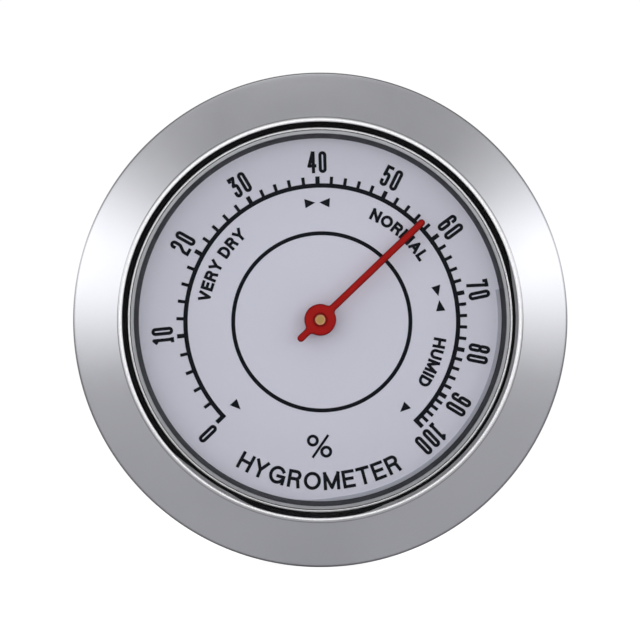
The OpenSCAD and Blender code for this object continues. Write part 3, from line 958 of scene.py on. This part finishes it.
# The pointer, in millimetres, drawn pointing up and then turned to the humidity it shows at rest
POINTER_CLOCK = 44.98
POINTER_TOP = DIAL_Y - 2.2
POINTER_TIP = 20.4
TAIL = 4.3
NEEDLE_HALF = 0.51
NEEDLE_T = 0.6
BOSS_R = 2.26
BOSS_UNDER_R = 2.2
BOSS_BACK = DIAL_Y - 0.8
FILLET = 0.5             # radius where the needle and tail run into the boss
POINTER_EDGE = 0.36      # rounding of the pointer's front edge
WELL_R = 1.07            # the shallow well round the arbor
WELL_DEEP = 0.3


def pointer_outline():
    """The pointer's outline, anticlockwise: boss, needle and tail with a fillet at each root."""
    reach = NEEDLE_HALF + FILLET
    rise = math.sqrt((BOSS_R + FILLET) ** 2 - reach ** 2)
    touch = math.degrees(math.atan2(rise, reach))
    needle = arc((0, POINTER_TIP - NEEDLE_HALF), NEEDLE_HALF, 0, 180, 16)
    tail = arc((0, NEEDLE_HALF - TAIL), NEEDLE_HALF, 180, 360, 16)
    outline = needle + arc((-reach, rise), FILLET, 0, -touch, 8)
    outline += arc((0, 0), BOSS_R, 180 - touch, 180 + touch, 32)[1:-1]
    outline += arc((-reach, -rise), FILLET, touch, 0, 8) + tail
    outline += arc((reach, -rise), FILLET, 180, 180 - touch, 8)
    outline += arc((0, 0), BOSS_R, -touch, touch, 32)[1:-1]
    return outline + arc((reach, rise), FILLET, 180 + touch, 180, 8)


def drawn_in(outline, distance):
    """An anticlockwise outline moved inwards by a distance."""
    points = [Vector(p) for p in outline]
    moved = []
    for i, here in enumerate(points):
        along = (here - points[i - 1]).normalized() + (points[(i + 1) % len(points)] - here).normalized()
        along.normalize()
        moved.append((here.x - along.y * distance, here.y + along.x * distance))
    return moved


def sheet_with_hole(outline, hole):
    """Triangles that fill an outline apart from a hole in it."""
    verts = [Vector(p) for p in outline + hole]
    faces = [list(range(len(outline))), list(range(len(outline), len(verts)))]
    points, _, triangles, _, _, owners = delaunay_2d_cdt(verts, [], faces, 0, 1e-6, True)
    return points, [t for t, owner in zip(triangles, owners) if list(owner) == [0]]


def pointer_mesh():
    """The moulded pointer: one flat piece with a rounded front edge, on a thicker boss with a well."""
    verts = []
    faces = []

    def wall(loops):
        """Joins closed rows of points, each at a height y, into a wall."""
        count = len(loops[0][0])
        start = len(verts)
        for points, y in loops:
            verts.extend((u, y, v) for u, v in points)
        for row in range(len(loops) - 1):
            faces.extend(quads(start + row * count, start + (row + 1) * count, count))

    def sheet(outline, hole, y):
        """A flat face at height y between an outline and a hole."""
        points, triangles = sheet_with_hole(outline, hole)
        start = len(verts)
        verts.extend((p.x, y, p.y) for p in points)
        faces.extend(tuple(start + k for k in triangle) for triangle in triangles)

    def circle(radius):
        return arc((0, 0), radius, 0, 357.5, 143)

    outline = pointer_outline()
    needle_back = POINTER_TOP + NEEDLE_T
    sides = [(outline, needle_back)]
    steps = 6
    for step in range(steps + 1):
        turn = math.radians(90 * step / steps)
        sides.append((drawn_in(outline, POINTER_EDGE * (1 - math.cos(turn))),
                      POINTER_TOP + POINTER_EDGE * (1 - math.sin(turn))))
    wall(sides)
    sheet(sides[-1][0], circle(WELL_R), POINTER_TOP)
    well = POINTER_TOP + WELL_DEEP
    wall([(circle(WELL_R), POINTER_TOP), (circle(WELL_R), well), (circle(ARBOR_R), well),
          (circle(ARBOR_R), BOSS_BACK), (circle(BOSS_UNDER_R), BOSS_BACK),
          (circle(BOSS_UNDER_R), needle_back)])
    sheet(outline, circle(BOSS_UNDER_R), needle_back)
    turn = math.radians(POINTER_CLOCK)
    verts = [((x * math.cos(turn) + z * math.sin(turn)) * MM, y * MM,
              (z * math.cos(turn) - x * math.sin(turn)) * MM) for x, y, z in verts]
    return closed_mesh("pointer", verts, faces, WELD)


pointer = new_object("pointer_moulded", pointer_mesh(), "pointer_shaft",
                     MATERIALS["red_plastic"])
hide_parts("pointer")


# ---------------------------------------------------------------- case parts with softened edges

cover = new_object("rear_cover_finished", bevelled_copy("rear_cover", 0.15), "housing",
                   MATERIALS["cover_plastic"], 20)
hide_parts("rear_cover")

GRIP_SEAT_R = 28.0
GRIP_BASE_R = 29.0
GRIP_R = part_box("grip_ring")[1][0] / MM
GRIP_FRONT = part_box("grip_ring")[0][1] / MM
GRIP_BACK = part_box("grip_ring")[1][1] / MM


def grip_outline():
    """The grip ring's cross-section: three ribs that ramp up from the back, with soft crests."""
    first, pitch, ramp, crest, rise = 0.4, 2.5, 0.25, 0.8, 0.5
    outline = [(GRIP_SEAT_R, GRIP_FRONT), (GRIP_BASE_R, GRIP_FRONT)]
    for rib in range(3):
        y = GRIP_FRONT + first + rib * pitch
        outline += [(GRIP_BASE_R, y), (GRIP_R, y + ramp), (GRIP_R, y + ramp + crest),
                    (GRIP_BASE_R, y + ramp + crest + rise)]
    return rounded(outline + [(GRIP_BASE_R, GRIP_BACK), (GRIP_SEAT_R, GRIP_BACK)], 0.2)


grip = new_object("grip_ring_moulded", lathe(grip_outline()), "housing",
                  MATERIALS["black_rubber"])
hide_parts("grip_ring")


# ---------------------------------------------------------------- CAD nodes that stay

KEPT = {
    "dial_plate": "dial_paint", "scale_print": "black_ink", "arbor": "arbor_brass", "front_bush": "brass",
    "front_plate": "brass", "movement_screws": "steel", "pillars": "brass", "pillar_screws": "steel",
    "rear_plate": "brass", "rear_bush": "brass", "coil_collet": "brass", "hygro_coil": "coil_strip",
    "coil_stud": "brass", "regulator_arm": "steel", "friction_washer": "steel",
    "case_barrel": "case_plastic", "cover_screws": "steel", "adjuster_spindle": "brass",
}
for node, material in KEPT.items():
    mesh = frame["nodes"][node].data
    for index in range(len(mesh.materials)):
        mesh.materials[index] = MATERIALS[material]


# ---------------------------------------------------------------- stage, lights and camera

# Brightness of the studio by angle off the dial's axis: dark where the camera stands
STUDIO = ((0, 0.08), (2.7, 0.1), (3.9, 1.95), (13, 1.9), (21, 0.3), (43, 0.3),
          (51, 0.58), (72, 0.58), (84, 0.3), (110, 0.35), (180, 0.7))
# Tall soft panels beside the dial: clock angle, strength, half width, and the angles off the camera's
# axis between which each comes up
PANELS = ((73.5, 1.27, 0.205, 18, 33), (283.5, 1.27, 0.21, 18, 33))
# A round soft lamp above: angle off the dial's axis, clock angle, strength, sharpness
LAMP = (64, 352, 0.6, 16)


def floor():
    """A plain pale round floor under the bezel's lowest edge: near white to the eye."""
    radius = 0.25            # metres
    sides = 96
    rim = [(*point, 0) for point in arc((0, 0), radius, 0, 360, sides)[:-1]]
    mesh = bpy.data.meshes.new("floor")
    mesh.from_pydata(rim, [], [tuple(range(sides))])
    plane = bpy.data.objects.new("floor", mesh)
    bpy.context.scene.collection.objects.link(plane)
    plane.location.z = FLOOR_Z
    n = Nodes("pale_floor")
    # the camera sees a near-white glow that still takes a faint shadow
    shade = n.add("ShaderNodeBsdfDiffuse", Color=(0.65, 0.65, 0.66, 1))
    seen = n.add("ShaderNodeEmission", Color=(1, 1, 1, 1), Strength=0.92)
    pale = n.add("ShaderNodeBsdfDiffuse", Color=(0.3, 0.3, 0.3, 1))
    both = n.add("ShaderNodeAddShader")
    n.link(seen.outputs[0], both.inputs[0])
    n.link(pale.outputs[0], both.inputs[1])
    n.lit_and_seen(shade, both)
    mesh.materials.append(n.material)


class WorldNodes(Nodes):
    """The same short way to write the studio's light, as a function of direction."""

    def __init__(self, name):
        self.world = bpy.data.worlds.new(name)
        self.world.use_nodes = True
        self.tree = self.world.node_tree
        self.tree.nodes.clear()
        self.output = self.add("ShaderNodeOutputWorld")

    def towards(self, way):
        """Cosine of the angle between the direction looked in and one way."""
        dot = self.add("ShaderNodeVectorMath", operation="DOT_PRODUCT")
        self.link(self.add("ShaderNodeTexCoord").outputs["Generated"], dot.inputs[0])
        dot.inputs[1].default_value = way
        return dot.outputs["Value"]

    def panel(self, clock, strength, half_width, start, end):
        """A tall soft panel at a clock angle, which comes up between two angles off the camera's axis."""
        turn = math.radians(clock)
        along = self.towards((math.sin(turn), 0, math.cos(turn)))
        across = self.math("DIVIDE", self.towards((math.cos(turn), 0, -math.sin(turn))), half_width)
        profile = self.math("EXPONENT", self.math("MULTIPLY", self.math("MULTIPLY", across, across), -1))
        low, high = (math.sin(math.radians(angle)) for angle in (start, end))
        rise = self.spread(along, low, high, 0, strength, smooth=True)
        return self.math("MULTIPLY", profile, rise)

    def lamp(self, off_axis, clock, strength, sharpness):
        """A round soft lamp, off_axis degrees from straight ahead of the dial, at a clock angle."""
        aim = self.math("MAXIMUM", self.towards(direction(off_axis, clock)), 0)
        return self.math("MULTIPLY", self.math("POWER", aim, sharpness), strength)


def direction(off_axis, clock):
    """A direction by its angle off the dial's axis and its clock angle."""
    tilt, turn = math.radians(off_axis), math.radians(clock)
    return (math.sin(tilt) * math.sin(turn), -math.cos(tilt), math.sin(tilt) * math.cos(turn))


def world():
    """White behind the object, and for light a grey studio with a panel at each side and a lamp above."""
    n = WorldNodes("studio")
    # the ramp runs from straight behind the camera (0) to straight behind the object (1)
    ramp = n.add("ShaderNodeValToRGB")
    ramp.color_ramp.interpolation = "EASE"
    n.link(n.spread(n.towards((0, 1, 0)), -1, 1, 0, 1), ramp.inputs["Fac"])
    elements = ramp.color_ramp.elements
    while len(elements) < len(STUDIO):
        elements.new(0.5)
    for element, (off_axis, grey) in zip(elements, STUDIO):
        element.position = (1 - math.cos(math.radians(off_axis))) / 2
        element.color = (grey, grey, grey, 1)
    level = ramp.outputs["Color"]
    for light in [n.panel(*panel) for panel in PANELS] + [n.lamp(*LAMP)]:
        level = n.math("ADD", level, light)
    studio = n.add("ShaderNodeBackground", Color=(1.0, 1.0, 1.02, 1))
    n.link(level, studio.inputs["Strength"])
    white = n.add("ShaderNodeBackground", Color=(1, 1, 1, 1), Strength=1.02)
    n.lit_and_seen(studio, white)
    bpy.context.scene.world = n.world


def camera():
    """Straight in front of the dial, with the long lens and the slight roll of the photograph."""
    frame_width = 90.56      # millimetres across the picture at the bezel
    distance = 0.8           # metres
    sensor = 36.0
    aim = Vector((-0.034, -0.5, -0.024)) * MM
    data = bpy.data.cameras.new("camera")
    data.sensor_width = sensor
    data.lens = sensor * distance / (frame_width * MM)
    data.clip_start = 0.01
    data.clip_end = 50
    eye = bpy.data.objects.new("camera", data)
    bpy.context.scene.collection.objects.link(eye)
    roll = math.radians(1.25)
    eye.matrix_world = (Matrix.Translation(aim + Vector((0, -distance, 0)))
                        @ Matrix.Rotation(math.radians(90), 4, "X") @ Matrix.Rotation(roll, 4, "Z"))
    bpy.context.scene.camera = eye


floor()
world()
camera()

bpy.context.scene.view_settings.view_transform = "Standard"
bpy.context.scene.view_settings.look = "None"
